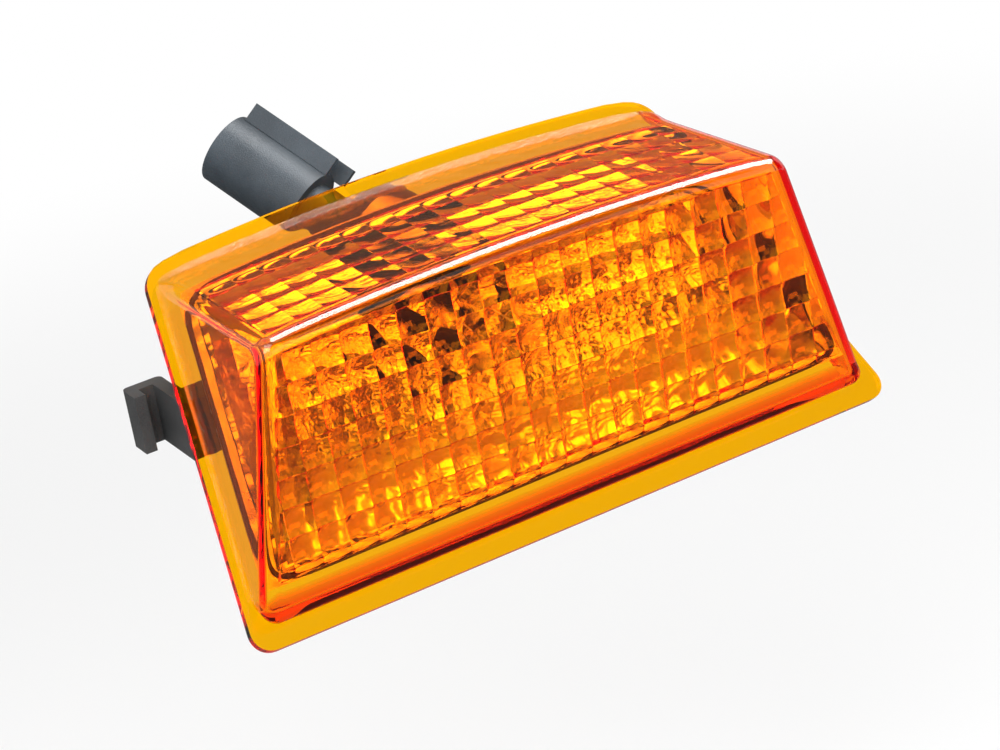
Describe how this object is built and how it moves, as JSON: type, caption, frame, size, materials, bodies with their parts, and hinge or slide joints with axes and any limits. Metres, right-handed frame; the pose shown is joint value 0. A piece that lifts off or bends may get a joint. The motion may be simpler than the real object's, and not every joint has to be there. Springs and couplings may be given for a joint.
{
  "type": "vehicle indicator lamp",
  "caption": "Amber corner indicator lamp: wedge-shaped prism lens on a black housing with a side hook, a bulb in a twist-in holder and a round connector socket.",
  "frame": {"origin": "middle of the panel opening, on the slanted plane of the lens rim's back face", "axes": "+X along the ridge of the lens, front face of the lens towards -Y, top face towards +Z"},
  "size_m": [0.183, 0.111, 0.0955],
  "materials": {
    "amber_lens": "polished clear amber",
    "black_plastic": "matte moulded",
    "sealant": "dark glue",
    "mirror_coat": "bright metallised",
    "bulb_glass": "clear blown glass",
    "bulb_brass": "plain drawn brass",
    "black_glass": "glossy black insulator",
    "solder": "dull solder",
    "tungsten": "drawn wire",
    "black_rubber": "matte",
    "holder_plastic": "matte moulded",
    "tinned_brass": "tinned"
  },
  "bodies": {
    "root": {"lens": "amber_lens", "housing": "black_plastic", "sealing_bead": "sealant", "reflector": "mirror_coat", "bulb_glass": "bulb_glass", "bulb_cap": "bulb_brass", "bulb_pin_left": "bulb_brass", "bulb_pin_right": "bulb_brass", "bulb_insulator": "black_glass", "bulb_contact": "solder", "bulb_stem": "bulb_glass", "filament": "tungsten", "lead_wire_left": "tungsten", "lead_wire_right": "tungsten", "holder_seal": "black_rubber", "bulb_holder": "holder_plastic", "centre_contact": "tinned_brass", "terminal_left": "tinned_brass", "terminal_right": "tinned_brass"}
  },
  "joints": []
}
